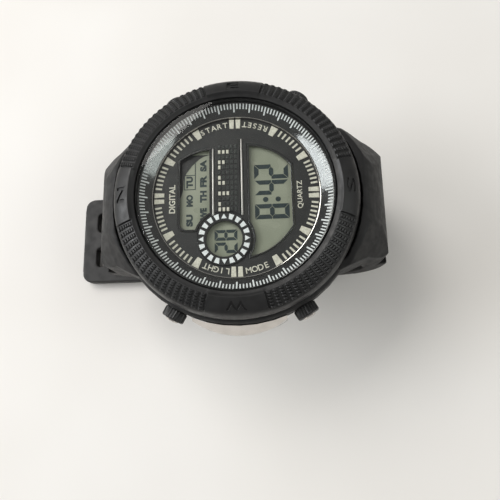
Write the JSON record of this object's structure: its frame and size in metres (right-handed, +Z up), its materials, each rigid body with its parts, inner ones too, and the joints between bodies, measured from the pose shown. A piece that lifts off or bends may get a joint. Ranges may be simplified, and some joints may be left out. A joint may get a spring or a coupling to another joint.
{
  "type": "digital sports wristwatch",
  "caption": "Round resin digital wristwatch with a turning compass bezel, push buttons, an LCD behind a framed dial and a curved resin strap with buckle.",
  "frame": {"origin": "flat underside of the strap, straight below the centre of the dial", "axes": "+Z up through the dial and crystal, +Y towards 12 o'clock, +X towards 3 o'clock"},
  "size_m": [0.0566, 0.0768, 0.0381],
  "materials": {
    "case_resin": "fine matte moulded resin, near black",
    "bezel_resin": "fine matte moulded resin, near black, knurled grips",
    "strap_resin": "satin soft resin, near black",
    "gloss_black": "mirror-gloss black",
    "dial_black": "satin black print",
    "polished_steel": "polished, faint brushing",
    "dark_steel": "black-coated steel, worn at edges",
    "crystal_glass": "clear, polished",
    "lcd_grey": "grey-green reflective display, dark digits",
    "white_plastic": "warm white plastic and print",
    "board_green": "solder mask",
    "black_rubber": "matte seal rubber",
    "brass": "plain"
  },
  "bodies": {
    "case": {"case_body": "case_resin", "side_plate_9": "polished_steel", "side_plate_3": "polished_steel", "crystal": "crystal_glass", "crystal_gasket": "black_rubber", "chapter_ring": "gloss_black", "dial_plate": "dial_black", "time_window_frame": "gloss_black", "day_window_frame": "gloss_black", "subdial_ring": "gloss_black", "centre_panel": "dial_black", "lcd_panel": "lcd_grey", "backlight_panel": "white_plastic", "contact_strip_upper": "black_rubber", "contact_strip_lower": "black_rubber", "module_frame": "white_plastic", "circuit_board": "board_green", "battery": "polished_steel", "battery_clip": "polished_steel", "sounder_disc": "brass", "sounder_spring": "brass", "case_gasket": "black_rubber", "case_back": "polished_steel", "spring_bar_6": "polished_steel", "spring_bar_12": "polished_steel", "back_screw_1": "polished_steel", "back_screw_2": "polished_steel", "back_screw_3": "polished_steel", "back_screw_4": "polished_steel", "button_start_spring": "polished_steel", "button_reset_spring": "polished_steel", "button_mode_spring": "polished_steel", "button_light_spring": "polished_steel"},
    "bezel": {"bezel_ring": "bezel_resin"},
    "strap_6": {"strap_6": "strap_resin"},
    "strap_12": {"strap_12": "strap_resin", "buckle_bar": "polished_steel"},
    "buckle_frame": {"buckle_frame": "dark_steel"},
    "prong": {"double_prong": "dark_steel"},
    "keeper": {"keeper": "strap_resin"},
    "button_start": {"button_start": "dark_steel", "button_start_seal": "black_rubber", "button_start_clip": "polished_steel"},
    "button_reset": {"button_reset": "dark_steel", "button_reset_seal": "black_rubber", "button_reset_clip": "polished_steel"},
    "button_mode": {"button_mode": "dark_steel", "button_mode_seal": "black_rubber", "button_mode_clip": "polished_steel"},
    "button_light": {"button_light": "dark_steel", "button_light_seal": "black_rubber", "button_light_clip": "polished_steel"}
  },
  "joints": [
    {"name": "bezel_turn", "type": "hinge", "parent": "case", "child": "bezel", "pos_m": [0, 0, 0.035], "axis": [0, 0, 1], "continuous": true},
    {"name": "button_start_press", "type": "slide", "parent": "case", "child": "button_start", "axis": [-0.866, -0.5, 0], "range_m": [0, 0.001], "stiffness_N_per_m": 500, "springref_m": -0.001},
    {"name": "button_reset_press", "type": "slide", "parent": "case", "child": "button_reset", "axis": [-0.866, 0.5, 0], "range_m": [0, 0.001], "stiffness_N_per_m": 500, "springref_m": -0.001},
    {"name": "button_mode_press", "type": "slide", "parent": "case", "child": "button_mode", "axis": [0.866, 0.5, 0], "range_m": [0, 0.001], "stiffness_N_per_m": 500, "springref_m": -0.001},
    {"name": "button_light_press", "type": "slide", "parent": "case", "child": "button_light", "axis": [0.866, -0.5, 0], "range_m": [0, 0.001], "stiffness_N_per_m": 500, "springref_m": -0.001},
    {"name": "strap_6_hinge", "type": "hinge", "parent": "case", "child": "strap_6", "pos_m": [0, -0.0298, 0.019], "axis": [-1, 0, 0], "range_deg": [0, 65]},
    {"name": "strap_12_hinge", "type": "hinge", "parent": "case", "child": "strap_12", "pos_m": [0, 0.029, 0.019], "axis": [1, 0, 0], "range_deg": [0, 22.75]},
    {"name": "prong_hinge", "type": "hinge", "parent": "strap_12", "child": "prong", "pos_m": [0, -0.0012, 0.0085], "axis": [1, 0, 0], "range_deg": [0, 65]},
    {"name": "buckle_frame_hinge", "type": "hinge", "parent": "strap_12", "child": "buckle_frame", "pos_m": [0, -0.0012, 0.0085], "axis": [-1, 0, 0], "range_deg": [0, 60]},
    {"name": "keeper_slide", "type": "slide", "parent": "strap_12", "child": "keeper", "axis": [0, 1, 0], "range_m": [-0.006, 0.002]}
  ],
  "couplings": [
    {"joint": "strap_12_hinge", "follows": "strap_6_hinge", "ratio": 0.35},
    {"joint": "prong_hinge", "follows": "strap_6_hinge", "ratio": 1}
  ]
}
